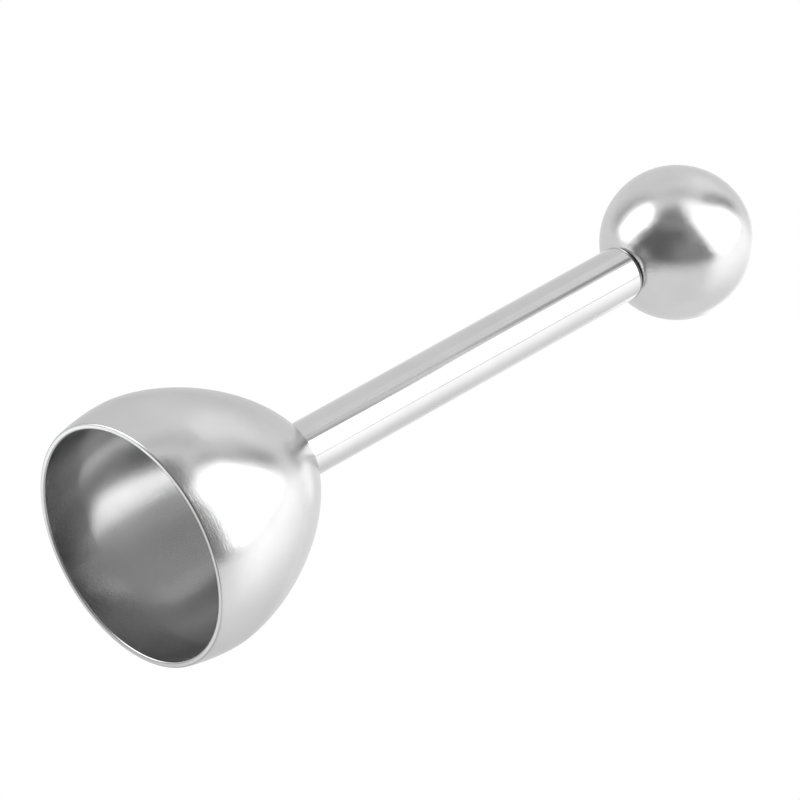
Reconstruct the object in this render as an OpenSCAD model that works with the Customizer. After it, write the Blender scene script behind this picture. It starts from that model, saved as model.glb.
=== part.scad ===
// Spring-loaded egg topper. The bell sits on an egg, a tube handle stands on its
// crown, and a sprung hammer inside the tube is drawn back by a ball knob. When the
// ball is let go, the hammer strikes the anvil and the shell cracks along the rim.
// Modelled upright, as it stands on the egg: +Z runs up the handle, and the origin
// is at the centre of the bell's rim. Millimetres.

/* [Bell] */
// Outer diameter at the rim
rim_d = 40.4; // [34:0.2:50]
// How far the side swells out past the rim
bulge_out = 0.9; // [0:0.1:2]
// Height of the widest place above the rim
bulge_z = 7.7; // [5:0.1:12]
// Height of the flat land on the crown
land_z = 34.3; // [28:0.1:42]
// Width of the land left round the tube
land_margin = 0.7; // [0.3:0.1:2]
// Fullness of the crown along the axis
crown_rise = 1.64; // [1.4:0.02:2.4]
// Fullness of the crown across the axis
crown_side = 1.56; // [1.4:0.02:2.4]
// Thickness of the sheet
bell_wall = 1; // [0.7:0.05:1.4]
// Break on the two edges of the ground rim
rim_break = 0.15; // [0.05:0.05:0.3]

/* [Handle] */
// Outer diameter of the tube
tube_d = 9; // [7.5:0.1:12]
// Wall of the tube
tube_wall = 0.8; // [0.6:0.05:1]
// Length of the tube
tube_len = 73.4; // [60:0.2:90]
// Gap between the rod and the turned-in end of the tube
lip_gap = 0.5; // [0.3:0.1:0.7]
// Length of the anvil plug
anvil_len = 10; // [8:0.5:14]
// Length of the guide bush
bush_len = 8.4; // [5:0.2:12]

/* [Striker] */
// Diameter of the ball
ball_d = 25; // [20:0.5:32]
// Gap between the flat on the resting ball and the tube
ball_gap = 0.2; // [0.15:0.05:1]
// Width of the flat round the rod on the ball
ball_flat = 1.9; // [0.2:0.1:2.2]
// Diameter of the rod
rod_d = 4; // [3:0.1:4.8]
// Length of rod held in the ball
rod_in_ball = 10; // [6:0.5:14]
// Length of rod held in the hammer
rod_in_hammer = 12; // [8:0.5:12]
// Length of the hammer
hammer_len = 14; // [14:0.5:20]
// Diameter of the pin across the hammer
pin_d = 1.5; // [1:0.1:1.8]
// Wall of the split pin
pin_wall = 0.35; // [0.25:0.05:0.4]

/* [Spring] */
// Wire diameter
wire_d = 0.7; // [0.5:0.05:0.7]
// Coils between the two end coils
active_coils = 12; // [8:1:13]
// Pitch of each end coil
end_pitch = 1.2; // [1.15:0.05:1.6]
// Thickness of the two spring washers
seat_t = 0.8; // [0.5:0.1:1.2]

/* [Screw] */
// Diameter of the screw through the crown
screw_d = 4; // [3:0.1:5]
// Length of screw held in the anvil plug
screw_grip = 6; // [4:0.5:6.5]
// Thickness of the screw's head
head_t = 2.6; // [2:0.1:3.2]
// Thickness of the plain washer
washer_t = 0.8; // [0.5:0.1:1]
// Thickness of the lock washer
lock_t = 1; // [0.6:0.1:1.2]

/* [Fits] */
// Clearance round the rod in the bush
run_clear = 0.05; // [0.02:0.01:0.1]
// Clearance round a thread or a pin in its hole
thread_clear = 0.03; // [0.02:0.01:0.1]
// Clearance round the hammer and the washers in the tube
bore_clear = 0.3; // [0.2:0.05:0.4]
// Clearance of a plain hole round a screw or rod
hole_clear = 0.25; // [0.15:0.05:0.3]

/* [Hidden] */
$fn = 96;

edge = 0.3;                       // chamfer on the turned pieces
eps = 0.01;                       // how far a cutter stands past a face
crown_steps = 28;                 // points along the crown's curve
skirt_steps = 6;                  // points along the skirt's curve

rim_r = rim_d / 2;
wide_r = rim_r + bulge_out;
tube_r = tube_d / 2;
bore_r = tube_r - tube_wall;
land_r = tube_r + land_margin;
rod_r = rod_d / 2;
lip_r = rod_r + lip_gap;
turn_r = min(0.3, (bore_r - lip_r) / 2);   // inner bend of the tube's turned-in end
tube_round = turn_r + tube_wall;
ball_flat_r = rod_r + ball_flat;

// The crown is a superellipse from the widest place to an apex above the land.
land_rise = pow(1 - pow(land_r / wide_r, crown_side), 1 / crown_rise);
apex_z = bulge_z + (land_z - bulge_z) / land_rise;
inner_land_z = land_z - bell_wall;
inner_land_rise = (inner_land_z - bulge_z) / (apex_z - bell_wall - bulge_z);
inner_land_r = (wide_r - bell_wall) * pow(1 - pow(inner_land_rise, crown_rise), 1 / crown_side);
screw_hole_r = screw_d / 2 + hole_clear;
bell_washer_r = inner_land_r - 0.4;

// Heights up the handle, from the crown to the ball
tube_top = land_z + tube_len;
anvil_top = land_z + anvil_len;
hammer_top = anvil_top + hammer_len;
spring_low = hammer_top + seat_t;
bush_z = tube_top - tube_round - bush_len;
spring_high = bush_z - seat_t;
ball_r = ball_d / 2;
ball_flat_z = tube_top + ball_gap;
ball_z = ball_flat_z + sqrt(pow(ball_r, 2) - pow(ball_flat_r, 2));
rod_low = hammer_top - rod_in_hammer;
rod_high = ball_flat_z + rod_in_ball;
pin_z = hammer_top - rod_in_hammer / 2;
screw_head_top = inner_land_z - washer_t - lock_t;
screw_high = land_z + screw_grip;
head_r = screw_d * 0.975;

// A ring with both ends chamfered outside, and its bore left sharp
module ring(outer_r, hole_r, z, h, c = edge) {
    translate([0, 0, z])
        rotate_extrude()
            polygon([
                [hole_r, 0], [outer_r - c, 0], [outer_r, c],
                [outer_r, h - c], [outer_r - c, h], [hole_r, h]
            ]);
}

// A solid bar with both ends chamfered
module bar(r, z, h, c = edge) {
    ring(r, 0, z, h, c);
}

// A blind drilled hole: a cylinder with a 118 degree point, from z up
module drilling(r, z, depth) {
    translate([0, 0, z - eps])
        cylinder(r = r, h = depth + eps);
    translate([0, 0, z + depth - eps])
        cylinder(r1 = r, r2 = 0, h = r / tan(59));
}

// Points up the side: the skirt from the rim, then the crown as far as the given rise
function skirt(wide) = [
    for (i = [1 : skirt_steps])
        let (z = bulge_z * i / (skirt_steps + 1))
            [wide - bulge_out * pow(1 - z / bulge_z, 2), z]
];
function crown(wide, apex, rise) = [
    for (i = [0 : crown_steps])
        let (t = asin(pow(rise, crown_rise / 2)) * i / crown_steps)
            [wide * pow(cos(t), 2 / crown_side), bulge_z + (apex - bulge_z) * pow(sin(t), 2 / crown_rise)]
];
function reversed(points) = [for (i = [len(points) - 1 : -1 : 0]) points[i]];

module bell() {
    inner_rim_r = rim_r - bell_wall;
    outside = concat(skirt(wide_r), crown(wide_r, apex_z, land_rise));
    inside = concat(skirt(wide_r - bell_wall), crown(wide_r - bell_wall, apex_z - bell_wall, inner_land_rise));
    color("silver")
        rotate_extrude()
            polygon(concat(
                [[inner_rim_r + rim_break, 0], [rim_r - rim_break, 0], [rim_r, rim_break]],
                outside,
                [[screw_hole_r, land_z], [screw_hole_r, inner_land_z]],
                reversed(inside),
                [[inner_rim_r, rim_break]]
            ));
}

// Pan-head screw, head down, with a cross recess
module bell_screw() {
    crown_h = head_t * 0.45;
    recess_w = head_r * 0.26;
    recess_len = head_r * 1.1;
    recess_deep = head_t * 0.6;
    color("gainsboro")
        difference() {
            union() {
                bar(screw_d / 2, screw_head_top - crown_h, screw_high - screw_head_top + crown_h);
                translate([0, 0, screw_head_top - head_t])
                    rotate_extrude()
                        polygon([
                            [0, 0], [head_r * 0.55, 0], [head_r * 0.85, crown_h * 0.4],
                            [head_r, crown_h], [head_r, head_t], [0, head_t]
                        ]);
            }
            for (turn = [0, 90])
                translate([0, 0, screw_head_top - head_t])
                    rotate([0, 0, turn])
                        cube([recess_len, recess_w, recess_deep * 2], center = true);
        }
}

// Split lock washer, slit on the +X side
module bell_lock_washer() {
    slit = 0.7;
    outer_r = head_r - 0.3;
    color("darkgray")
        difference() {
            ring(outer_r, screw_d / 2 + hole_clear, screw_head_top, lock_t, 0.1);
            translate([0, -slit / 2, screw_head_top - 1])
                cube([outer_r + 1, slit, lock_t + 2]);
        }
}

module bell_washer() {
    color("gainsboro")
        ring(bell_washer_r, screw_hole_r, inner_land_z - washer_t, washer_t, 0.15);
}

// Tube, square at the foot, with its upper end turned in to a lip round the rod
module handle_tube() {
    turn_z = tube_top - tube_round;
    function bend(r) = [for (a = [0 : 10 : 90]) [bore_r - turn_r + r * cos(a), turn_z + r * sin(a)]];
    color("silver")
        rotate_extrude()
            polygon(concat(
                [[bore_r, land_z], [tube_r, land_z]],
                bend(tube_round),
                [[lip_r, tube_top], [lip_r, tube_top - tube_wall]],
                reversed(bend(turn_r))
            ));
}

// Plug in the foot of the tube, tapped from below
module anvil_plug() {
    color("dimgray")
        difference() {
            bar(bore_r, land_z, anvil_len);
            drilling(screw_d / 2 + thread_clear, land_z, screw_grip + 0.5);
        }
}

module guide_bush() {
    color("goldenrod")
        ring(bore_r, rod_r + run_clear, bush_z, bush_len);
}

module spring_seat(z) {
    color("gainsboro")
        ring(bore_r - bore_clear, rod_r + hole_clear, z, seat_t, 0.1);
}

module upper_spring_washer() {
    spring_seat(spring_high);
}

module lower_spring_washer() {
    spring_seat(hammer_top);
}

// Compression spring: one helix of eight rings a coil, with a close coil at each end
module drive_spring() {
    rings = 8;
    sides = 6;
    low = spring_low + wire_d / 2;
    rise = spring_high - spring_low - wire_d;
    coils = active_coils + 2;
    pitch = (rise - 2 * end_pitch) / active_coils;
    // Centre line midway between rod and tube, and let out for the chords between rings
    coil_r = (rod_r + bore_r) / (1 + cos(180 / rings));
    function climb(turns) =
        turns < 1 ? end_pitch * turns :
        turns > coils - 1 ? rise - end_pitch * (coils - turns) :
        end_pitch + pitch * (turns - 1);
    function section(turns) = [
        for (k = [0 : sides - 1])
            let (
                out = coil_r + wire_d / 2 * cos(360 * k / sides),
                up = climb(turns) + wire_d / 2 * sin(360 * k / sides)
            )
                [out * cos(360 * turns), out * sin(360 * turns), low + up]
    ];
    last = coils * rings;
    points = [for (i = [0 : last]) each section(i / rings)];
    walls = [
        for (i = [0 : last - 1])
            for (k = [0 : sides - 1])
                let (
                    a = i * sides + k,
                    b = i * sides + (k + 1) % sides
                )
                    each [[a, a + sides, b + sides], [a, b + sides, b]]
    ];
    first_cap = [for (k = [1 : sides - 2]) [0, k, k + 1]];
    last_cap = [for (k = [1 : sides - 2]) [last * sides, last * sides + k + 1, last * sides + k]];
    echo(least_gap_between_coils = min(end_pitch, pitch) - wire_d);
    color("lightslategray")
        polyhedron(points = points, faces = concat(walls, first_cap, last_cap));
}

// Ball with a flat at its foot and a blind tapped hole
module ball_knob() {
    color("whitesmoke")
        difference() {
            translate([0, 0, ball_z])
                sphere(d = ball_d);
            translate([0, 0, ball_flat_z - ball_r])
                cylinder(r = ball_r, h = ball_r);
            drilling(rod_r + thread_clear, ball_flat_z, rod_in_ball + 0.5);
        }
}

module pull_rod() {
    color("gainsboro")
        difference() {
            bar(rod_r, rod_low, rod_high - rod_low);
            pin_hole();
        }
}

module hammer() {
    color("dimgray")
        difference() {
            bar(bore_r - bore_clear, anvil_top, hammer_len);
            translate([0, 0, rod_low])
                cylinder(r = rod_r + thread_clear, h = rod_in_hammer + 1);
            pin_hole();
        }
}

// Cross hole through the hammer and the rod, along X
module pin_hole() {
    translate([0, 0, pin_z])
        rotate([0, 90, 0])
            cylinder(d = pin_d + 2 * thread_clear, h = tube_d, center = true);
}

// Split pin, open along its lower side, and shorter than the hammer is wide
module hammer_pin() {
    pin_len = 2 * (bore_r - bore_clear) - 0.4;
    slit = 0.3;
    color("slategray")
        translate([0, 0, pin_z])
            rotate([0, 90, 0])
                difference() {
                    cylinder(d = pin_d, h = pin_len, center = true);
                    cylinder(d = pin_d - 2 * pin_wall, h = pin_len + 1, center = true);
                    translate([pin_d / 2, 0, 0])
                        cube([pin_d, slit, pin_len + 1], center = true);
                }
}

bell();
bell_screw();
bell_lock_washer();
bell_washer();
handle_tube();
anvil_plug();
guide_bush();
upper_spring_washer();
drive_spring();
lower_spring_washer();
ball_knob();
pull_rod();
hammer();
hammer_pin();
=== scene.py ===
"""Spring-loaded egg topper, standing on its rim: +Z runs up the handle to the ball.

Most pieces are turned: an outline of (radius, height) points with its own normals is carried
once round the Z axis. Sizes are in millimetres and become metres through MM.
"""
import math

import bpy
import numpy as np
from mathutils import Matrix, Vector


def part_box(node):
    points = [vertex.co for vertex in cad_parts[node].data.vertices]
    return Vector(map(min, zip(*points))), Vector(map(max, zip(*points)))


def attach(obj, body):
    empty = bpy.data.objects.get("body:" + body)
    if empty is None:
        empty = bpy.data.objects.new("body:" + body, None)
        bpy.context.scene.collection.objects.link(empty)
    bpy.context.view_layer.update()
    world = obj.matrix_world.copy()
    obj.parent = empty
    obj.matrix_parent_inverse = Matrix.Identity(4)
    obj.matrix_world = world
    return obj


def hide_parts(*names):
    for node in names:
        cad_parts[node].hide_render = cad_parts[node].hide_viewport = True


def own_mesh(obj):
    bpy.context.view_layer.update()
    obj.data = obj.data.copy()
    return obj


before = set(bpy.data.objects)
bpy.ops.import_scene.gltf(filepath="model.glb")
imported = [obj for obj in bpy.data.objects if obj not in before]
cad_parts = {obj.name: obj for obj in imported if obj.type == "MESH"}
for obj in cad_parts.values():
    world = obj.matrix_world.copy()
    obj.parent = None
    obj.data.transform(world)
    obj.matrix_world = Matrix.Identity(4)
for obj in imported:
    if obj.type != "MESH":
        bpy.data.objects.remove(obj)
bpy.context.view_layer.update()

MM = 0.001

# Places taken from the frame, in millimetres
LAND_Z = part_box("bell")[1].z / MM
BULGE_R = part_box("bell")[1].x / MM
TUBE_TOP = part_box("handle_tube")[1].z / MM
TUBE_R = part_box("handle_tube")[1].x / MM
BALL_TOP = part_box("ball_knob")[1].z / MM
BALL_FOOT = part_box("ball_knob")[0].z / MM

# Sizes repeated from the part's source, in millimetres
RIM_TO_BULGE = 7.7
BULGE_OUT = 0.9
BELL_WALL = 1.0
CROWN_RISE = 1.64
CROWN_SIDE = 1.56
LAND_MARGIN = 0.7
SCREW_HOLE_R = 2.25
TUBE_WALL = 0.8
BALL_R = 12.5
BALL_FLAT = 1.9
ROD_R = 4.0 / 2
LIP_R = ROD_R + 0.5
TURN_R = 0.3
THREAD_CLEAR = 0.03
ROD_IN_BALL = 10.0
ROD_IN_HAMMER = 12.0
PIN_D = 1.5
WIRE_D = 0.7
ACTIVE_COILS = 12
END_PITCH = 1.2
COIL_R = 2.85
SCREW_R = 4.0 / 2
SLIT = 0.7
CHAMFER = 0.3

# Rounded edges, in place of the source's small chamfers, and the end of the drilled hole, in
# millimetres, with the drill's point as an angle
RIM_INNER_EDGE = 0.24
RIM_OUTER_EDGE = 0.3
RIM_FACE_MARGIN = 0.02
LIP_EDGE = 0.1
FOOT_EDGE = 0.03
FINE_EDGE = 0.05
DRILL_PAST_ROD = 0.5
DRILL_POINT = math.radians(118)


# ---------------------------------------------------------------- outlines and meshes

class Outline:
    """A closed outline in (radius, height), in millimetres, with the solid on its left.

    A corner is replaced by a tangent arc of its own radius; a curve is kept as it is given.
    Normals are the outline's tangents turned to the right, so an arc's normals sweep evenly.
    """

    ARC_STEP = math.radians(9)

    def __init__(self):
        self.parts = []
        self.finish = 0

    def use(self, finish):
        """The parts that follow take this material of the piece's."""
        self.finish = finish
        return self

    def corner(self, r, z, fillet=0.04):
        self.parts.append((np.array([[r, z]], float), fillet, self.finish))
        return self

    def curve(self, r, z):
        pairs = np.stack([np.asarray(r, float), np.asarray(z, float)], 1)
        self.parts.append((pairs, None, self.finish))
        return self

    def _arc(self, at, before, after, fillet):
        """Tangent arc at a corner: from fillet * tan(half the turn) before it to the same after."""
        come = (at - before) / np.linalg.norm(at - before)
        leave = (after - at) / np.linalg.norm(after - at)
        turn = math.atan2(come[0] * leave[1] - come[1] * leave[0], come @ leave)
        steps = max(2, math.ceil(abs(turn) / self.ARC_STEP))
        start = at - come * fillet * abs(math.tan(turn / 2))
        centre = start + np.array([-come[1], come[0]]) * fillet * math.copysign(1, turn)
        angle = math.atan2(come[1], come[0]) + np.linspace(0, turn, steps + 1)
        normals = np.stack([np.sin(angle), -np.cos(angle)], 1)
        return centre + normals * fillet * math.copysign(1, turn), normals

    def build(self):
        """All points and all normals, as arrays of (radius, height), and each point's material."""
        points, normals, finishes = [], [], []
        for i, (own, fillet, finish) in enumerate(self.parts):
            if fillet is None:
                step = np.gradient(own, axis=0)
                step /= np.linalg.norm(step, axis=1)[:, None]
                points.append(own)
                normals.append(np.stack([step[:, 1], -step[:, 0]], 1))
            else:
                before = self.parts[i - 1][0][-1]
                after = self.parts[(i + 1) % len(self.parts)][0][0]
                arc = self._arc(own[0], before, after, fillet)
                points.append(arc[0])
                normals.append(arc[1])
            finishes.append(np.full(len(points[-1]), finish))
        return np.concatenate(points), np.concatenate(normals), np.concatenate(finishes)


def placed(name, data):
    """A new object of the scene, at its origin."""
    new = bpy.data.objects.new(name, data)
    bpy.context.scene.collection.objects.link(new)
    return new


def make_mesh(name, points, faces, normals, finishes=None):
    """A smooth mesh in metres from points in millimetres, with its own vertex normals."""
    mesh = bpy.data.meshes.new(name)
    mesh.from_pydata((points * MM).tolist(), [], faces)
    mesh.polygons.foreach_set("use_smooth", np.ones(len(mesh.polygons), bool))
    if finishes is not None:
        mesh.polygons.foreach_set("material_index", finishes)
    mesh.update()
    mesh.normals_split_custom_set_from_vertices(normals.tolist())
    return placed(name, mesh)


def turned(name, outline, around=192):
    """Surface of revolution: point (r, z) at turn a lies at (r cos a, r sin a, z).

    A point on the axis becomes one vertex, and the strips that end there are triangles. The
    strip between two points takes the material of the first.
    """
    pairs, pair_normals, finishes = outline.build()
    turn = np.linspace(0, 2 * math.pi, around, endpoint=False)
    spin = np.stack([np.cos(turn), np.sin(turn)], 1)

    def taken_round(rows):
        flat = rows[:, None, 0, None] * spin
        high = np.broadcast_to(rows[:, None, 1, None], flat.shape[:2] + (1,))
        return np.concatenate([flat, high], 2).reshape(-1, 3)

    smallest_r = 1e-6
    on_axis = pairs[:, 0] < smallest_r
    index = np.arange(len(pairs) * around).reshape(-1, around)
    index[on_axis] = index[on_axis, :1]
    used, index = np.unique(index, return_inverse=True)
    here = index.reshape(-1, around)
    beyond = np.roll(here, -1, 0)
    quads = np.stack([here, np.roll(here, -1, 1), np.roll(beyond, -1, 1), beyond], 2)
    ends_on_axis = np.roll(on_axis, -1)
    strips = [
        (~on_axis & ~ends_on_axis, [0, 1, 2, 3]),
        (on_axis & ~ends_on_axis, [0, 2, 3]),
        (~on_axis & ends_on_axis, [0, 1, 2]),
    ]
    faces = sum((quads[rows][..., kept].reshape(-1, len(kept)).tolist() for rows, kept in strips), [])
    face_finishes = np.concatenate([finishes[rows] for rows, _ in strips]).repeat(around)
    return make_mesh(name, taken_round(pairs)[used], faces, taken_round(pair_normals)[used], face_finishes)


def carried(name, path, out, up, section, section_normals):
    """Solid bar: a closed section carried along an open path, with flat ends.

    Section point (a, b) at a path point lies at path + a * out + b * up.
    """
    a, b = section[None, :, 0, None], section[None, :, 1, None]
    points = path[:, None] + a * out[:, None] + b * up[:, None]
    na, nb = section_normals[None, :, 0, None], section_normals[None, :, 1, None]
    normals = na * out[:, None] + nb * up[:, None]
    index = np.arange(points.shape[0] * points.shape[1]).reshape(points.shape[:2])
    here, beyond = index[:-1], index[1:]
    quads = np.stack([here, beyond, np.roll(beyond, -1, 1), np.roll(here, -1, 1)], 2).reshape(-1, 4)
    ends = [points[0], points[-1]]
    along = [path[0] - path[1], path[-1] - path[-2]]
    end_normals = [np.repeat(step[None] / np.linalg.norm(step), len(section), 0) for step in along]
    first = index.size + np.arange(len(section))
    last = first + len(section)
    faces = quads.tolist() + [first.tolist(), last[::-1].tolist()]
    all_points = np.concatenate([points.reshape(-1, 3)] + ends)
    all_normals = np.concatenate([normals.reshape(-1, 3)] + end_normals)
    return make_mesh(name, all_points, faces, all_normals)


def cut(piece, cutter):
    """Take the cutter away from the piece, and shade the result smooth between its real edges."""
    modifier = piece.modifiers.new("cut", "BOOLEAN")
    modifier.operation = "DIFFERENCE"
    modifier.solver = "EXACT"
    modifier.object = cutter
    bpy.context.view_layer.update()
    ready = piece.evaluated_get(bpy.context.evaluated_depsgraph_get())
    mesh = bpy.data.meshes.new_from_object(ready)
    piece.modifiers.clear()
    piece.data = mesh
    if "custom_normal" in mesh.attributes:
        mesh.attributes.remove(mesh.attributes["custom_normal"])
    mesh.polygons.foreach_set("use_smooth", np.ones(len(mesh.polygons), bool))
    mesh.set_sharp_from_angle(angle=math.radians(25))
    bpy.data.objects.remove(cutter)
    return piece


# ---------------------------------------------------------------- shader expressions

class Link:
    """A shader socket on which Python's operators add Math nodes."""

    def __init__(self, tree, socket):
        self.tree = tree
        self.socket = socket

    def _math(self, operation, *values):
        return self.tree.add("ShaderNodeMath", {"operation": operation}, *values)

    def __add__(self, other):
        return self._math("ADD", self, other)

    def __mul__(self, other):
        return self._math("MULTIPLY", self, other)

    def __sub__(self, other):
        return self._math("SUBTRACT", self, other)

    def __rsub__(self, other):
        return self._math("SUBTRACT", other, self)

    def __truediv__(self, other):
        return self._math("DIVIDE", self, other)

    def __rtruediv__(self, other):
        return self._math("DIVIDE", other, self)

    __radd__ = __add__
    __rmul__ = __mul__

    def largest(self, other):
        return self._math("MAXIMUM", self, other)

    def root(self):
        return self._math("SQRT", self)

    def ramp(self, low, high):
        """0 below low, 1 above high, and smooth between."""
        smooth = {"interpolation_type": "SMOOTHSTEP"}
        return self.tree.add("ShaderNodeMapRange", smooth, self, low, high, 0.0, 1.0)

    def beside(self, output):
        """Another output of the same node."""
        return Link(self.tree, self.socket.node.outputs[output])


class Tree:
    """A node tree of a material or the world."""

    def __init__(self, owner):
        owner.use_nodes = True
        self.nodes = owner.node_tree.nodes
        self.links = owner.node_tree.links
        self.nodes.clear()

    def plug(self, socket, value):
        if isinstance(value, Link):
            self.links.new(value.socket, socket)
        else:
            socket.default_value = value

    def add(self, kind, settings=None, *values, out=None, **named):
        """A node of that type: its settings first, then its inputs by order or by name.

        The order leaves out inputs that the settings switch off. The output that comes back is
        the one named, or else the first that is in use.
        """
        node = self.nodes.new(kind)
        for key, value in (settings or {}).items():
            setattr(node, key, value)
        in_use = [socket for socket in node.inputs if socket.enabled]
        for socket, value in zip(in_use, values):
            self.plug(socket, value)
        for key, value in named.items():
            self.plug(node.inputs[key.replace("_", " ")], value)
        outputs = [socket for socket in node.outputs if socket.enabled]
        if not outputs:
            return None
        return Link(self, node.outputs[out] if out else outputs[0])

    def place(self):
        """The point on the piece, and its three coordinates, in metres."""
        spot = self.add("ShaderNodeTexCoord", out="Object")
        return spot, self.split(spot)

    def split(self, vector):
        x = self.add("ShaderNodeSeparateXYZ", None, vector)
        return x, x.beside("Y"), x.beside("Z")

    def vector(self, x, y, z):
        return self.add("ShaderNodeCombineXYZ", None, x, y, z)

    def noise(self, where, scale, detail, roughness):
        """Noise with that many lumps a metre; detail and roughness add finer ones."""
        named = {"Scale": scale, "Detail": detail, "Roughness": roughness}
        return self.add("ShaderNodeTexNoise", None, Vector=where, **named)

    def colours(self, mask, low, high):
        """One colour where the mask is 0, another where it is 1."""
        return self.add("ShaderNodeMix", {"data_type": "RGBA"}, mask, low, high)

    def drifting(self, cloud, low, high):
        """A colour that drifts between two as slow noise does."""
        return self.colours(cloud.ramp(0.3, 0.7), low, high)

    def mixed(self, mask, low, high):
        """One shader where the mask is 0, another where it is 1."""
        return self.add("ShaderNodeMixShader", None, mask, low, high)

    def bump(self, height, distance, strength=0.5):
        return self.add("ShaderNodeBump", None, Strength=strength, Distance=distance, Height=height)


def grey(level):
    return (level, level, level, 1.0)


def radius_of(place):
    """Distance from the Z axis."""
    x, y, _ = place
    return (x * x + y * y).root()


def round_axis(tree, place, along, across):
    """Where to read noise for streaks that run round the axis: so many lumps along and across them."""
    x, y, z = place
    radius = radius_of(place)
    return tree.vector(x / radius * along, y / radius * along, (z + radius) * across)


def metal(name, haze=0.0, **sockets):
    """A metal surface; values that stay the same all over are set on the shader's own sockets.

    Haze is the share of the light that fine pits spread widely.
    """
    material = bpy.data.materials.new(name)
    tree = Tree(material)
    kind = "ShaderNodeBsdfPrincipled"
    shader = tree.add(kind, None, Metallic=1.0, **sockets)
    shaders = [shader.socket.node]
    if haze:
        wide = tree.add(kind, None, Metallic=1.0, Roughness=HAZE_ROUGHNESS, **sockets)
        shaders.append(wide.socket.node)
        shader = tree.mixed(haze, shader, wide)
    tree.add("ShaderNodeOutputMaterial", None, shader)
    return material, tree, shaders


def finish_inputs(tree, shaders, roughness, **sockets):
    """Plug the roughness into the sharp shader, and the rest into the wide one as well."""
    tree.plug(shaders[0].inputs["Roughness"], roughness)
    for shader in shaders:
        for key, value in sockets.items():
            tree.plug(shader.inputs[key.replace("_", " ")], value)


# ---------------------------------------------------------------- materials

# How much of the white sheen at glancing angles the steel keeps
EDGE_TINT = 0.75
BALL_EDGE_TINT = 0.87
TUBE_EDGE_TINT = 0.95
# Roughness of the light that fine pits spread
HAZE_ROUGHNESS = 0.55
# Width in millimetres of the ring round the tube that a buffing wheel can't reach, and what it
# adds to the roughness
UNBUFFED = 4.0
UNBUFFED_ROUGHNESS = 0.35
# Direction across the rim along which its base colour runs from a painted sheen to painted shade
SHEEN_TO_SHADE_X = 0.44
SHEEN_TO_SHADE_Y = 0.9


def satin_steel():
    """Spun sheet with a satin finish: fine rings round the axis, a fine grain and soft pebbling."""
    material, tree, shaders = metal("satin_steel", haze=0.07, Specular_Tint=grey(EDGE_TINT))
    spot, place = tree.place()
    spun = tree.noise(round_axis(tree, place, 0.6, 2600), 1.0, 3.0, 0.6)
    grain = tree.noise(spot, 5200.0, 1.0, 0.6)
    pebble = tree.noise(spot, 1600.0, 1.0, 0.5)
    cloud = tree.noise(spot, 90.0, 2.0, 0.5)
    by_tube = 1 - radius_of(place).ramp(TUBE_R * MM, (TUBE_R + UNBUFFED) * MM)
    finish_inputs(
        tree, shaders,
        Base_Color=tree.drifting(cloud, grey(0.58), grey(0.62)),
        roughness=0.18 + 0.05 * (cloud - 0.5) + by_tube * UNBUFFED_ROUGHNESS,
        Normal=tree.bump(grain * 0.7 + spun * 0.3 + pebble * 0.25, 0.04 * MM),
    )
    return material


def inner_steel():
    """The bell's inner wall: duller than outside, with short scratches the way that it was spun."""
    material, tree, shaders = metal("inner_steel", haze=0.23)
    spot, place = tree.place()
    cloud = tree.noise(spot, 120.0, 3.0, 0.5)
    grain = tree.noise(spot, 2600.0, 2.0, 0.6)
    scratch = tree.noise(round_axis(tree, place, 14, 1500), 1.0, 3.0, 0.7)
    finish_inputs(
        tree, shaders,
        Base_Color=tree.drifting(cloud, grey(0.6), grey(0.64)),
        roughness=0.18 + 0.07 * (cloud - 0.5) + 0.07 * (scratch - 0.5),
        Normal=tree.bump(grain * 0.3 + scratch * 0.6, 0.03 * MM),
    )
    return material


def ground_steel():
    """The rim, ground flat: fine lines across it, and a base colour painted lighter on one side as a
    painted sheen and darker on the other as painted shade, broken up by noise.
    """
    material, tree, shaders = metal("ground_steel")
    spot, (x, y, z) = tree.place()
    lines = tree.noise(tree.vector(x * 400, y * 6000, z * 400), 1.0, 2.0, 0.6)
    patch = tree.noise(spot, 700.0, 2.0, 0.6)
    # Painted light: the base colour goes from a bright painted sheen on one side of the rim to painted
    # shade on the other, with noise to break up the change
    sheen_to_shade = (x * SHEEN_TO_SHADE_X + y * SHEEN_TO_SHADE_Y) / (BULGE_R * MM) + (patch - 0.5) * 0.8
    finish_inputs(
        tree, shaders,
        Base_Color=tree.colours(sheen_to_shade.ramp(-0.1, 0.9), grey(0.92), grey(0.7)),
        roughness=0.34 + 0.08 * (lines - 0.5),
        Normal=tree.bump(lines, 0.004 * MM),
    )
    return material


def tube_steel():
    """Polished tube: faint lines drawn along its length."""
    material, tree, shaders = metal("polished_tube", Specular_Tint=grey(TUBE_EDGE_TINT))
    spot, (x, y, z) = tree.place()
    drawn = tree.noise(tree.vector(x * 9000, y * 9000, z * 60), 1.0, 2.0, 0.6)
    cloud = tree.noise(spot, 120.0, 2.0, 0.5)
    finish_inputs(
        tree, shaders,
        Base_Color=tree.drifting(cloud, grey(0.565), grey(0.595)),
        roughness=0.11 + 0.04 * (drawn - 0.5) + 0.04 * (cloud - 0.5),
        Normal=tree.bump(drawn, 0.002 * MM),
    )
    return material


def ball_steel():
    """Polished ball: a soft mirror with a very fine grain and a faint unevenness."""
    material, tree, shaders = metal("ball_steel", haze=0.08, Specular_Tint=grey(BALL_EDGE_TINT))
    spot, _ = tree.place()
    grain = tree.noise(spot, 5200.0, 1.0, 0.6)
    speck = tree.noise(spot, 3400.0, 2.0, 0.6)
    pebble = tree.noise(spot, 1600.0, 1.0, 0.5)
    cloud = tree.noise(spot, 110.0, 3.0, 0.55)
    finish_inputs(
        tree, shaders,
        Base_Color=tree.drifting(cloud, grey(0.58), grey(0.62)),
        roughness=0.15 + 0.05 * (cloud - 0.5) + 0.16 * (speck - 0.5),
        Normal=tree.bump(grain + pebble * 0.35 + cloud * 2.0, 0.06 * MM),
    )
    return material


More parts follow.
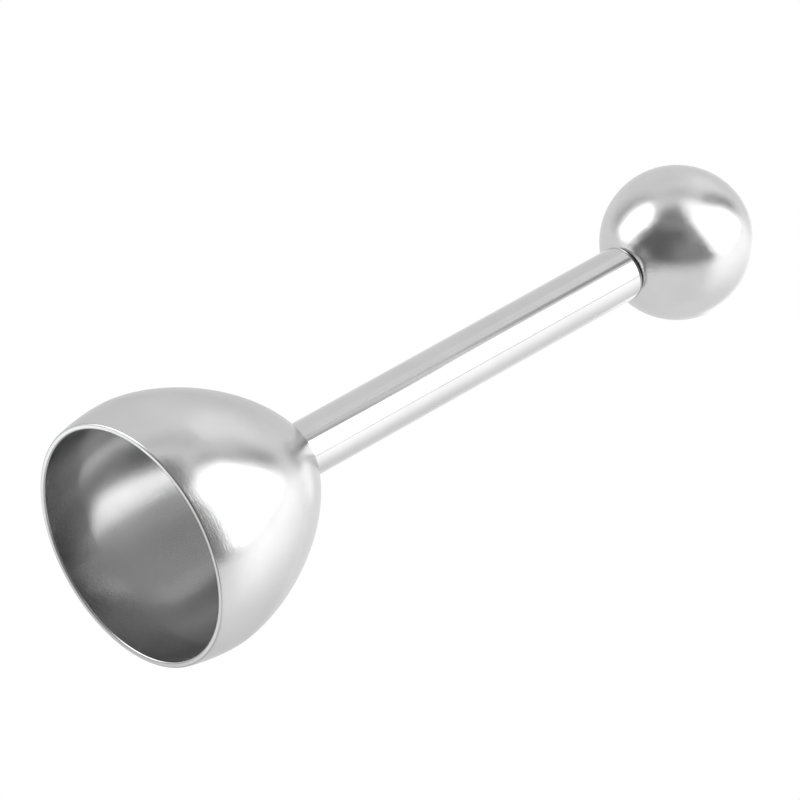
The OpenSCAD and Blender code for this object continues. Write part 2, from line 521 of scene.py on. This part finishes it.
def turned_metal(name, base, roughness):
    """A lathe-turned piece: rings round the axis, and a slow change of tone."""
    material, tree, shaders = metal(name, Specular_Tint=grey(EDGE_TINT))
    spot, place = tree.place()
    rings = tree.noise(tree.vector(radius_of(place) * 7000, place[2] * 7000, 0.0), 1.0, 2.0, 0.6)
    cloud = tree.noise(spot, 300.0, 2.0, 0.5)
    darker = tuple(0.85 * level for level in base[:3]) + (1.0,)
    finish_inputs(
        tree, shaders,
        Base_Color=tree.drifting(cloud, darker, base),
        roughness=roughness + 0.08 * (cloud - 0.5),
        Normal=tree.bump(rings, 0.004 * MM, strength=0.4),
    )
    return material


# ---------------------------------------------------------------- pieces

def bell_side(wide, apex, rise_end, skirt_steps=24, crown_steps=90):
    """Side of the bell, from just above the rim to the land.

    Below the widest place the radius falls off as the square of the distance down to the rim.
    Above it the outline is a superellipse: (r / wide) ** CROWN_SIDE + up ** CROWN_RISE = 1. One
    angle walks along it, with the power of its cosine as the radius and of its sine as the rise.
    """
    above_rim = 0.05
    low = np.linspace(above_rim, 1, skirt_steps, endpoint=False) * RIM_TO_BULGE
    low_r = wide - BULGE_OUT * (1 - low / RIM_TO_BULGE) ** 2
    turn = np.linspace(0, math.asin(rise_end ** (CROWN_RISE / 2)), crown_steps)
    high = RIM_TO_BULGE + (apex - RIM_TO_BULGE) * np.sin(turn) ** (2 / CROWN_RISE)
    high_r = wide * np.cos(turn) ** (2 / CROWN_SIDE)
    return np.append(low_r, high_r), np.append(low, high)


def make_bell():
    """Outer side up to the land, the screw hole, and the inner side down to the ground rim."""
    satin, inner, ground = range(3)
    land_r = TUBE_R + LAND_MARGIN
    land_rise = (1 - (land_r / BULGE_R) ** CROWN_SIDE) ** (1 / CROWN_RISE)
    apex = RIM_TO_BULGE + (LAND_Z - RIM_TO_BULGE) / land_rise
    inner_land_z = LAND_Z - BELL_WALL
    inner_rise = (inner_land_z - RIM_TO_BULGE) / (apex - BELL_WALL - RIM_TO_BULGE)
    rim_r = BULGE_R - BULGE_OUT
    rim_inner_r = rim_r - BELL_WALL
    face_r = [rim_inner_r + RIM_INNER_EDGE + RIM_FACE_MARGIN, rim_r - RIM_OUTER_EDGE - RIM_FACE_MARGIN]
    inner_r, inner_z = bell_side(BULGE_R - BELL_WALL, apex - BELL_WALL, inner_rise)
    outline = Outline()
    outline.use(satin).corner(rim_inner_r, 0, RIM_INNER_EDGE)
    outline.use(ground).curve(face_r, [0, 0])
    outline.use(satin).corner(rim_r, 0, RIM_OUTER_EDGE)
    outline.curve(*bell_side(BULGE_R, apex, land_rise))
    outline.corner(SCREW_HOLE_R, LAND_Z).corner(SCREW_HOLE_R, inner_land_z)
    outline.use(inner).curve(inner_r[::-1], inner_z[::-1])
    return turned("bell_shell", outline, 320)


def make_tube():
    """Square foot, and the upper end turned in to a lip round the rod."""
    bore_r = TUBE_R - TUBE_WALL
    outline = Outline()
    outline.corner(bore_r, LAND_Z, FINE_EDGE).corner(TUBE_R, LAND_Z, FOOT_EDGE)
    outline.corner(TUBE_R, TUBE_TOP, TURN_R + TUBE_WALL)
    outline.corner(LIP_R, TUBE_TOP, LIP_EDGE).corner(LIP_R, TUBE_TOP - TUBE_WALL, LIP_EDGE)
    outline.corner(bore_r, TUBE_TOP - TUBE_WALL, TURN_R)
    return turned("tube_body", outline)


def make_ball():
    """Sphere with a flat round its hole and a drilled blind hole with a pointed end.

    Swept by s up from its foot, the sphere's radius is BALL_R sin s, BALL_R cos s below its centre.
    """
    hole_r = ROD_R + THREAD_CLEAR
    hole_end = BALL_FOOT + ROD_IN_BALL + DRILL_PAST_ROD
    cone_r = np.array([0, hole_r / 2])
    cone_z = hole_end + (hole_r - cone_r) / math.tan(DRILL_POINT / 2)
    flat_r = ROD_R + BALL_FLAT
    past_edge, steps = 0.01, 150
    sweep = np.linspace(math.asin(flat_r / BALL_R) + past_edge, math.pi, steps)
    outline = Outline()
    outline.curve(cone_r, cone_z)
    outline.corner(hole_r, hole_end, FINE_EDGE).corner(hole_r, BALL_FOOT, LIP_EDGE)
    outline.corner(flat_r, BALL_FOOT, LIP_EDGE)
    outline.curve(BALL_R * np.sin(sweep).clip(0), BALL_TOP - BALL_R - BALL_R * np.cos(sweep))
    return turned("ball_body", outline, 256)


def ring_like(name, node, hole_r, edge=0.12):
    """Washer with rounded edges, as wide and as thick as the CAD node's box."""
    low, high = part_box(node)
    outer_r = high.x / MM
    outline = Outline()
    outline.corner(hole_r, low.z / MM, edge).corner(outer_r, low.z / MM, edge)
    outline.corner(outer_r, high.z / MM, edge).corner(hole_r, high.z / MM, edge)
    return turned(name, outline, 128)


def make_rod():
    """Round bar with a hole for the pin across its lower end."""
    low, high = (corner.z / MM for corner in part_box("pull_rod"))
    end_r = ROD_R - CHAMFER
    outline = Outline()
    outline.corner(0, low, 0).corner(end_r, low, FINE_EDGE).corner(ROD_R, low + CHAMFER, FINE_EDGE)
    outline.corner(ROD_R, high - CHAMFER, FINE_EDGE).corner(end_r, high, FINE_EDGE).corner(0, high, 0)
    rod = turned("rod_bar", outline, 96)
    drill_r = PIN_D / 2 + THREAD_CLEAR
    reach = 5
    drill = Outline()
    drill.corner(0, -reach, 0).corner(drill_r, -reach, 0).corner(drill_r, reach, 0).corner(0, reach, 0)
    cutter = turned("pin_drill", drill, 48)
    lay_across(cutter, low + ROD_IN_HAMMER / 2)
    return cut(rod, cutter)


def lay_across(piece, height):
    """Turn a piece's mesh from along Z to along X, at that height."""
    places = np.empty(len(piece.data.vertices) * 3, np.float32)
    piece.data.vertices.foreach_get("co", places)
    x, y, z = places.reshape(-1, 3).T
    piece.data.vertices.foreach_set("co", np.stack([z, x, y + height * MM], 1).reshape(-1))
    piece.data.update()


def make_screw():
    """Pan-head screw, head down, with a cross recess that narrows towards its bottom."""
    low, high = (corner.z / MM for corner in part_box("bell_screw"))
    head_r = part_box("bell_screw")[1].x / MM
    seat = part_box("bell_lock_washer")[0].z / MM
    pan_r, pan_round = head_r * 0.62, 1.2
    side_h, side_round = 1.1, 0.9
    seat_edge, root = 0.15, 0.1
    outline = Outline()
    outline.corner(0, low, 0).corner(pan_r, low, pan_round).corner(head_r, low + side_h, side_round)
    outline.corner(head_r, seat, seat_edge).corner(SCREW_R, seat, root)
    outline.corner(SCREW_R, high - CHAMFER, FINE_EDGE).corner(SCREW_R - CHAMFER, high, FINE_EDGE)
    outline.corner(0, high, 0)
    return cut(turned("screw_bar", outline, 128), cross_cutter(low, head_r))


def cross_cutter(low, head_r):
    """Cross-shaped plug: one arm's three corners turned by each quarter, smaller at its upper end.

    Corner (a, b) at a turn lies at a * out + b * side. Each level is a height above the head's
    face and the size of the cross there.
    """
    arm, half = head_r * 0.56, head_r * 0.14
    quarter = np.array([[arm, -half], [arm, half], [half, half]])
    turn = np.radians([0, 90, 180, 270])
    out = np.stack([np.cos(turn), np.sin(turn)], 1)[:, None]
    side = np.stack([-np.sin(turn), np.cos(turn)], 1)[:, None]
    cross = (quarter[None, :, :1] * out + quarter[None, :, 1:] * side).reshape(-1, 2)
    levels = np.array([(-1.0, 1.25), (0.9, 0.92), (1.5, 0.5)])
    flat = cross * levels[:, 1, None, None]
    high = np.broadcast_to(low + levels[:, 0, None, None], flat.shape[:2] + (1,))
    points = np.concatenate([flat, high], 2).reshape(-1, 3)
    index = np.arange(len(points)).reshape(len(levels), -1)
    here, beyond = index[:-1], index[1:]
    quads = np.stack([here, np.roll(here, -1, 1), np.roll(beyond, -1, 1), beyond], 2)
    faces = quads.reshape(-1, 4).tolist() + [index[0, ::-1].tolist(), index[-1].tolist()]
    return make_mesh("cross_cutter", points, faces, np.tile([0.0, 0.0, 1.0], (len(points), 1)))


def rounded_section(width, height, edge, steps=4):
    """Rectangle with round corners, centred, and its normals: arcs of that edge about four centres."""
    angle = np.concatenate([np.linspace(0, 90, steps + 1) + 90 * k for k in range(4)])
    normals = np.stack([np.cos(np.radians(angle)), np.sin(np.radians(angle))], 1)
    centre = np.repeat([[1, 1], [-1, 1], [-1, -1], [1, -1]], steps + 1, 0)
    return centre * [width / 2 - edge, height / 2 - edge] + normals * edge, normals


def outward(turn):
    """Unit vectors away from the Z axis at those turns."""
    return np.stack([np.cos(turn), np.sin(turn), np.zeros_like(turn)], 1)


def make_lock_washer():
    """Rectangular bar carried round a circle, which stops either side of the slit."""
    edge, steps = 0.1, 96
    low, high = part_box("bell_lock_washer")
    outer_r, hole_r = high.x / MM, SCREW_HOLE_R
    middle = (outer_r + hole_r) / 2
    stop = SLIT / 2 / middle
    out = outward(np.linspace(stop, 2 * math.pi - stop, steps + 1))
    path = out * middle + [0, 0, (low.z + high.z) / 2 / MM]
    up = np.repeat([[0.0, 0.0, 1.0]], len(out), 0)
    section = rounded_section(outer_r - hole_r, (high.z - low.z) / MM, edge)
    return carried("split_ring", path, out, up, *section)


def make_spring():
    """Round wire on a helix: a close coil at each end, and an even climb between them.

    After t turns the wire is at angle 2 pi t and at the height that it has climbed by then.
    """
    steps_a_turn, sides = 48, 16
    bottom, top = (corner.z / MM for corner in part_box("drive_spring"))
    low = bottom + WIRE_D / 2
    rise = top - bottom - WIRE_D
    coils = ACTIVE_COILS + 2
    turns = np.linspace(0, coils, coils * steps_a_turn + 1)
    climb = np.interp(turns, [0, 1, coils - 1, coils], [0, END_PITCH, rise - END_PITCH, rise])
    out = outward(2 * math.pi * turns)
    path = out * COIL_R + np.stack([0 * climb, 0 * climb, low + climb], 1)
    up = np.repeat([[0.0, 0.0, 1.0]], len(turns), 0)
    circle = outward(np.linspace(0, 2 * math.pi, sides, endpoint=False))[:, :2]
    return carried("coil_wire", path, out, up, circle * WIRE_D / 2, circle)


BELL_STEELS = [satin_steel(), inner_steel(), ground_steel()]
TUBE = tube_steel()
BALL = ball_steel()
HARD = turned_metal("hard_steel", grey(0.38), 0.28)
SPRING = turned_metal("spring_steel", grey(0.46), 0.22)
ZINC = turned_metal("zinc_plate", grey(0.66), 0.2)
BRASS = turned_metal("bush_brass", (0.72, 0.52, 0.25, 1.0), 0.2)


def finished(piece, materials, node, body):
    """Give a new piece its materials and its body, and hide the CAD node that it stands for."""
    for material in materials:
        piece.data.materials.append(material)
    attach(piece, body)
    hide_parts(node)
    return piece


finished(make_bell(), BELL_STEELS, "bell", "handle")
finished(make_tube(), [TUBE], "handle_tube", "handle")
finished(make_ball(), [BALL], "ball_knob", "striker")
finished(make_rod(), [TUBE], "pull_rod", "striker")
finished(make_screw(), [ZINC], "bell_screw", "handle")
finished(make_lock_washer(), [SPRING], "bell_lock_washer", "handle")
washer = ring_like("washer_ring", "bell_washer", SCREW_HOLE_R)
finished(washer, [ZINC], "bell_washer", "handle")
spring = finished(make_spring(), [SPRING], "drive_spring", "handle")
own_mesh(spring)

# Pieces inside the tube that stay as the CAD made them
KEPT = {
    "guide_bush": BRASS, "anvil_plug": HARD, "hammer": HARD, "hammer_pin": SPRING,
    "upper_spring_washer": ZINC, "lower_spring_washer": ZINC,
}
for node_name, node_material in KEPT.items():
    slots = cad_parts[node_name].data.materials
    slots.clear()
    slots.append(node_material)


# ---------------------------------------------------------------- camera

# The photograph looks up at the bell's mouth from below the rim, rolled so that the handle
# runs up to the right. Distances are in metres, and angles in degrees.
CAMERA_PLACE = np.array([0.0, -0.91028, -0.59102])
CAMERA_AIM = np.array([0.00047, 0.00146, 0.05796])
CAMERA_ROLL = -60.893
CAMERA_LENS = 323.07


def unit(vector):
    return vector / np.linalg.norm(vector)


def camera_axes():
    """The camera's right, up and back in the part's frame."""
    back = unit(CAMERA_PLACE - CAMERA_AIM)
    level = unit(np.cross([0, 0, 1], back))
    upright = np.cross(back, level)
    roll = math.radians(CAMERA_ROLL)
    right = level * math.cos(roll) - upright * math.sin(roll)
    up = level * math.sin(roll) + upright * math.cos(roll)
    return right, up, back


RIGHT, UP, BACK = camera_axes()
camera = placed("photo_camera", bpy.data.cameras.new("photo_camera"))
camera.data.sensor_width = 36
camera.data.lens = CAMERA_LENS
camera.data.clip_end = 20
camera.matrix_world = [[*RIGHT, 0], [*UP, 0], [*BACK, 0], [*CAMERA_PLACE, 1]]
bpy.context.scene.camera = camera


# ---------------------------------------------------------------- studio

# In the photograph the topper lies on a white table, and the camera looks down on it.
# Cards are placed by their direction from that table: azimuth from the camera's side,
# to the right, and elevation above the table.
LOOK_DOWN = math.radians(34)
TABLE_UP = UP * math.cos(LOOK_DOWN) + BACK * math.sin(LOOK_DOWN)
TABLE_FRONT = BACK * math.cos(LOOK_DOWN) - UP * math.sin(LOOK_DOWN)
BALL_CENTRE = np.array([0, 0, BALL_TOP - BALL_R]) * MM
MOUTH = np.zeros(3)


def toward(azimuth, elevation):
    """Unit vector in the part's frame for a direction seen from the table, in degrees.

    It is cos e (cos a front + sin a right) + sin e up, with azimuth a and elevation e.
    """
    a, e = np.radians(azimuth)[..., None], np.radians(elevation)[..., None]
    return np.cos(e) * (np.cos(a) * TABLE_FRONT + np.sin(a) * RIGHT) + np.sin(e) * TABLE_UP


def seen_from(about, spots):
    """Points for (azimuth, elevation, distance in metres) as seen from one point."""
    spots = np.asarray(spots, float)
    return about + spots[..., 2:] * toward(spots[..., 0], spots[..., 1])


def between(corners, steps=16):
    """Even grid between four corners: low left, low right, high right and high left.

    Point (u, v) mixes the two lower corners by u, the two upper ones by u, and the two by v.
    """
    low_left, low_right, high_right, high_left = np.asarray(corners, float)
    u, v = np.meshgrid(np.linspace(0, 1, steps + 1), np.linspace(0, 1, steps + 1))
    u, v = u[..., None], v[..., None]
    return (low_left * (1 - u) + low_right * u) * (1 - v) + (high_left * (1 - u) + high_right * u) * v


def curved(corners, about=BALL_CENTRE):
    """Sheet that is even in angle between four corners seen from one point."""
    return seen_from(about, between(corners))


def span(left, right, low, high, distance):
    """Curved sheet between two azimuths and two elevations, seen from the ball."""
    azimuths, elevations = (left, right, right, left), (low, low, high, high)
    return curved([(a, e, distance) for a, e in zip(azimuths, elevations)])


def on_table(drop, *corners):
    """Flat sheet in a plane that lies as the table does, a drop below the handle's axis.

    Its corners are (ahead of the mouth, across) in millimetres.
    """
    across = unit(np.cross(TABLE_UP, [0, 0, -1]))
    ahead = np.cross(across, TABLE_UP)
    corners = np.array(corners, float)
    return between((corners[:, :1] * ahead + corners[:, 1:] * across - drop * TABLE_UP) * MM)


def edge_on_to_ball(lift, *corners):
    """Flat sheet that the bell mirrors to the camera, and that the ball sees edge-on.

    The bell's ray leaves BELL_SPOT towards BELL_RAY. The ball mirrors the ray's far end at one
    spot, with its normal halfway between the camera and that end. The sheet's plane holds the
    line from this spot to the far end, and faces the ray as squarely as that allows. Lift moves
    it along its own normal. Its corners are (along the ray, across it) in millimetres, from the
    plane's nearest point to the mouth.
    """
    far = BELL_SPOT + BELL_RAY_LENGTH * BELL_RAY
    centre = BALL_CENTRE / MM
    mirror = centre + BALL_R * unit(BACK + unit(far - centre))
    sight = unit(far - mirror)
    normal = unit(BELL_RAY - (BELL_RAY @ sight) * sight)
    along = unit(BELL_RAY - (BELL_RAY @ normal) * normal)
    across = np.cross(normal, along)
    corners = np.array(corners, float)
    start = (normal @ mirror + lift) * normal
    return between((start + corners[:, :1] * along + corners[:, 1:] * across) * MM)


def hide_from(thing, *rays):
    """Hide a staging object from these kinds of ray."""
    for ray in rays:
        setattr(thing, "visible_" + ray, False)


def card_material(name, glow, edges):
    """Even light that fades to nothing towards the card's edges."""
    material = bpy.data.materials.new(name)
    tree = Tree(material)
    u, v, _ = tree.split(tree.add("ShaderNodeUVMap", {"uv_map": "card"}))
    left, right, low, high = edges
    mask = u.ramp(0, left) * (1 - u).ramp(0, right) * v.ramp(0, low) * (1 - v).ramp(0, high)
    light = tree.add("ShaderNodeEmission", None, grey(glow), 1.0)
    clear = tree.add("ShaderNodeBsdfTransparent")
    tree.add("ShaderNodeOutputMaterial", None, tree.mixed(mask, clear, light))
    return material


def card(name, sheet, glow, edges):
    """A glowing sheet, given as a grid of points in metres, that only reflections show.

    Edges are the shares of the sheet over which its light fades: left, right, low and high.
    """
    rows, columns = sheet.shape[:2]
    index = np.arange(rows * columns).reshape(rows, columns)
    quads = np.stack([index[:-1, :-1], index[:-1, 1:], index[1:, 1:], index[1:, :-1]], 2)
    faces = quads.reshape(-1, 4)
    share = np.stack(np.meshgrid(np.linspace(0, 1, columns), np.linspace(0, 1, rows)), 2)
    mesh = bpy.data.meshes.new(name)
    mesh.from_pydata(sheet.reshape(-1, 3).tolist(), [], faces.tolist())
    corner_uv = share.reshape(-1, 2)[faces.reshape(-1)]
    mesh.uv_layers.new(name="card").data.foreach_set("uv", corner_uv.reshape(-1).astype(np.float32))
    mesh.materials.append(card_material(name, glow, edges))
    panel = placed(name, mesh)
    hide_from(panel, "camera", "diffuse", "transmission", "shadow")


# A spot on the bell by its bright highlight, and the ray that it mirrors to the camera, in
# millimetres
BELL_SPOT = np.array([-5.0, -20.5, 6.0])
BELL_RAY = toward(110, 54)
BELL_RAY_LENGTH = 150

# Corners seen from the ball, or from the mouth where a card says so: azimuth, elevation, metres
FOLD_LIGHT = [(26, 26, 0.9), (34, 26, 0.9), (24, 70, 0.9), (10, 70, 0.9)]
FOLD_SHADE = [(32, 26, 0.9), (36, 26, 0.9), (32, 62, 0.9), (24, 62, 0.9)]
LEFT_BOX = [(-104, 4, 0.62), (-70, 4, 0.62), (-52, 59, 0.62), (-113, 59, 0.62)]
LEFT_CORE = [(-112, 24, 0.45), (-88, 24, 0.45), (-76, 60, 0.45), (-104, 60, 0.45)]
LEFT_FLAG = [(-142, -10, 0.5), (-103, -10, 0.5), (-116, 70, 0.5), (-140, 70, 0.5)]
RIGHT_BOX = [(58, 1, 1.46), (122, 1, 0.53), (67, 71, 0.36), (39, 64, 0.57)]
RIGHT_EDGE = [(50, 8, 0.2), (57, 8, 0.2), (42, 64, 0.2), (33, 64, 0.2)]
RIGHT_FLAG = [(124, 2, 0.7), (134, 2, 0.7), (135, 68, 0.7), (107, 68, 0.7)]
TOP_SCREEN = [(26, 64, 0.3), (118, 55, 0.3), (140, 85, 0.3), (26, 85, 0.3)]
TABLE_GLOW = [(28, -61, 0.4), (144, -61, 0.4), (140, -1.5, 0.4), (36, -1.5, 0.4)]
TABLE_BY_BALL = [(112, -74, 0.06), (150, -74, 0.06), (196, -8, 0.06), (112, -8, 0.06)]
MOUTH_FLAG = [(-100, -8, 0.15), (-58, -8, 0.15), (-58, 17, 0.15), (-100, 17, 0.15)]
# Corners in the part's own frame, in millimetres
MOUTH_SPOT = np.array([(-9, -3, -10), (7, -3, -10), (7, 13, -10), (-9, 13, -10)])

right_softbox = between(seen_from(BALL_CENTRE, RIGHT_BOX))
bell_cover = edge_on_to_ball(0.6, (205, 5), (18, 19), (10, -14), (170, -62))
bell_flag = edge_on_to_ball(0, (192, 7), (22, 22), (14, 2), (168, -34))
table_by_mouth = on_table(22.6, (25, -18), (25, 28), (600, 540), (600, -420))
mouth_shade = on_table(22, (-5, -35), (-5, 35), (45, 35), (45, -35))

# In front: dark drapes, a paler screen, and a fold between them
card("front_drape", span(-86, 66, -8, 62, 1.2), 0.13, (0.13, 0.12, 0.16, 0.2))
card("upper_drape", span(-80, 46, 48, 87, 0.4), 0.24, (0.13, 0.12, 0.4, 0.08))
card("front_screen", span(-24, 50, -2, 46, 1.1), 0.3, (0.4, 0.25, 0.2, 0.4))
card("fold_light", curved(FOLD_LIGHT), 0.8, (0.4, 0.2, 0.2, 0.2))
card("fold_shade", curved(FOLD_SHADE), 0.02, (0.2, 0.2, 0.2, 0.2))
# At the sides: a soft box each, and the flags that give their light an edge
card("left_softbox", curved(LEFT_BOX), 3.4, (0.08, 0.6, 0.05, 0.12))
card("left_core", curved(LEFT_CORE, MOUTH), 5.0, (0.25, 0.35, 0.35, 0.3))
card("right_softbox", right_softbox, 2.8, (0.04, 0.04, 0.03, 0.06))
card("right_edge", curved(RIGHT_EDGE), 2.4, (0.5, 0.05, 0.2, 0.1))
card("right_flag", curved(RIGHT_FLAG), 0.26, (0.12, 0.35, 0.2, 0.35))
card("left_flag", curved(LEFT_FLAG), 0.44, (0.9, 0.12, 0.2, 0.25))
# Behind and above
card("back_gap", span(120, 236, 58, 80, 0.9), 0.72, (0.2, 0.2, 0.4, 0.4))
card("back_wall", span(146, 236, -6, 66, 2.0), 0.94, (0.1, 0.1, 0.1, 0.2))
card("back_glow", span(134, 174, 6, 58, 1.9), 1.13, (0.3, 0.4, 0.3, 0.3))
card("top_screen", curved(TOP_SCREEN), 1.75, (0.25, 0.25, 0.15, 0.15))
# Over the bell's highlight
card("bell_cover", bell_cover, 0.86, (0.12, 0.3, 0.06, 0.35))
card("bell_flag", bell_flag, 0.5, (0.12, 0.3, 0.08, 0.85))
# The table, as the ball sees it
card("table_glow", curved(TABLE_GLOW), 1.68, (0.25, 0.2, 0.97, 0.03))
card("table_back", span(116, 184, -64, -10, 0.5), 1.22, (0.3, 0.2, 0.3, 0.4))
card("table_by_ball", curved(TABLE_BY_BALL), 1.8, (0.3, 0.25, 0.25, 0.35))
# What the bell's inner wall sees through the mouth
card("mouth_flag", curved(MOUTH_FLAG, MOUTH), 0.12, (0.3, 0.3, 0.2, 0.4))
card("mouth_spot", between(MOUTH_SPOT * MM), 0.35, (0.35, 0.35, 0.35, 0.35))
card("table_by_mouth", table_by_mouth, 0.12, (0.35, 0.35, 0.03, 0.02))
card("mouth_shade", mouth_shade, 0.75, (0.1, 0.1, 0.1, 0.2))


def make_world():
    """White for the camera and for reflections; softer where it only lights dull surfaces."""
    world = bpy.data.worlds.new("studio")
    bpy.context.scene.world = world
    tree = Tree(world)
    path = tree.add("ShaderNodeLightPath", out="Is Camera Ray")
    seen = path.largest(path.beside("Is Glossy Ray")).largest(path.beside("Is Transmission Ray"))
    soft = tree.add("ShaderNodeBackground", None, grey(1.0), 0.75)
    white = tree.add("ShaderNodeBackground", None, grey(1.0), 1.0)
    tree.add("ShaderNodeOutputWorld", None, tree.mixed(seen, soft, white))


def floor_material():
    """Pale and dull, clear far out, and clear from below, because the photograph looks up through it."""
    material = bpy.data.materials.new("floor")
    tree = Tree(material)
    _, place = tree.place()
    away = radius_of(place).ramp(0.25, 0.7)
    back = tree.add("ShaderNodeNewGeometry", out="Backfacing")
    dull = tree.add("ShaderNodeBsdfDiffuse", None, grey(0.86))
    clear = tree.add("ShaderNodeBsdfTransparent")
    tree.add("ShaderNodeOutputMaterial", None, tree.mixed(away.largest(back), dull, clear))
    return material


def make_floor():
    """One square, a little below the rim."""
    half, gap = 1.5, 0.1 * MM
    square = np.array([[-1, -1], [1, -1], [1, 1], [-1, 1]]) * half
    mesh = bpy.data.meshes.new("floor")
    mesh.from_pydata(np.column_stack([square, np.full(4, -gap)]).tolist(), [], [(0, 1, 2, 3)])
    mesh.materials.append(floor_material())
    floor = placed("floor", mesh)
    hide_from(floor, "diffuse", "glossy", "transmission", "shadow")


def make_lamp():
    """Soft lamp high on the left, which gives the floor its shadow and leaves the metal alone.

    Its size and place are in metres, and its energy is in watts.
    """
    lamp = placed("floor_lamp", bpy.data.lights.new("floor_lamp", "AREA"))
    lamp.data.shape = "DISK"
    lamp.data.size = 0.7
    lamp.data.energy = 5
    place = np.array([-0.5, -0.4, 1.0])
    back = unit(place)
    side = unit(np.cross([0, 0, 1], back))
    lamp.matrix_world = [[*side, 0], [*np.cross(back, side), 0], [*back, 0], [*place, 1]]
    hide_from(lamp, "glossy")


make_world()
make_floor()
make_lamp()
bpy.context.scene.view_settings.view_transform = "Standard"
